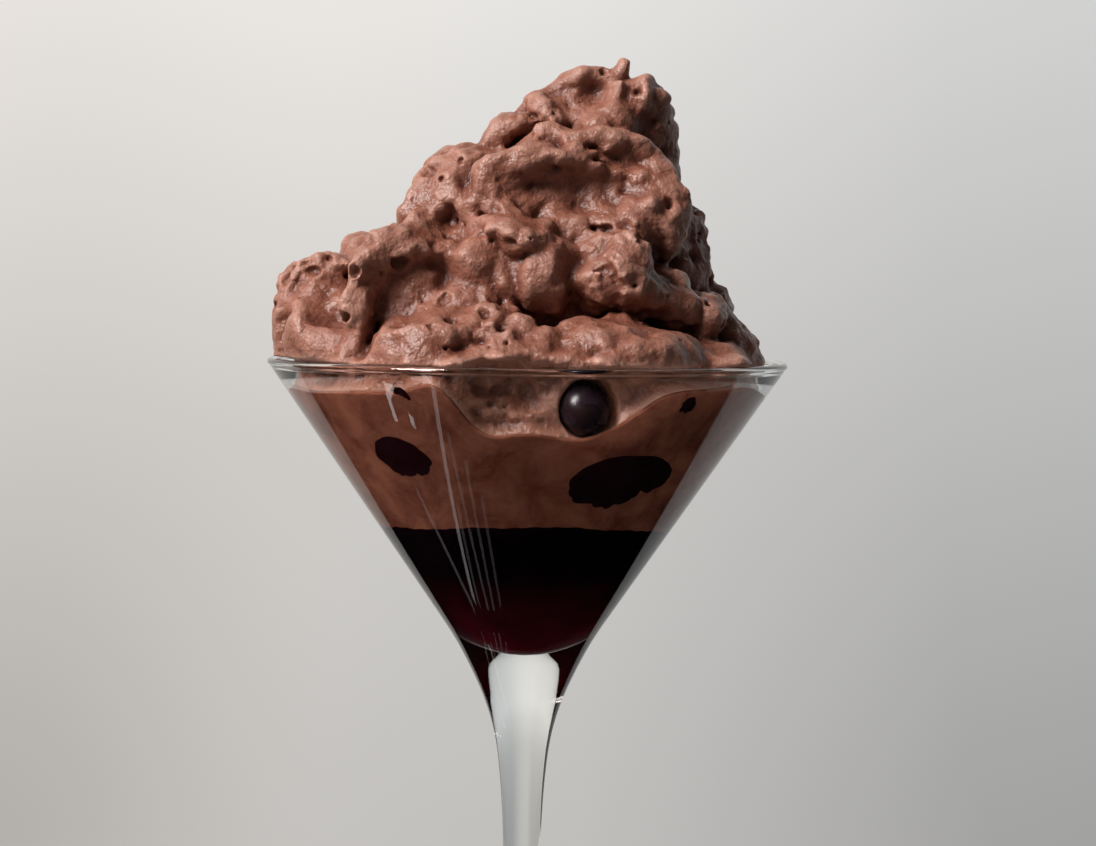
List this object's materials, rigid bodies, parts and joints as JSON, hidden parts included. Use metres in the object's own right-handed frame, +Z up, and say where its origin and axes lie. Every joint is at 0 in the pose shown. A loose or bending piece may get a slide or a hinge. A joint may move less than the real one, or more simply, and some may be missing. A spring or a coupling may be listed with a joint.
{
  "type": "chocolate mousse in a cocktail glass",
  "caption": "Chocolate mousse heaped high in a stemmed conical glass, over a dark berry sauce, with berries pressed against the wall.",
  "frame": {"origin": "middle of the underside of the foot, on the table", "axes": "+Z up along the stem, +Y to the back, +X to the right of the side that shows the front berry"},
  "size_m": [0.115, 0.115, 0.2393],
  "materials": {
    "glass": "clear blown glass, polished",
    "mousse": "aerated milk chocolate mousse, moist, soft sheen",
    "sauce": "dark berry sauce, wet and glossy",
    "berry": "dark berry skin, smooth with a faint bloom"
  },
  "bodies": {
    "root": {"glass": "glass", "mousse": "mousse", "berry_sauce": "sauce", "berry_front": "berry", "berry_left": "berry", "berry_right": "berry", "berry_bit_left": "berry", "berry_bit_right": "berry", "berry_back_1": "berry", "berry_back_2": "berry"}
  },
  "joints": []
}
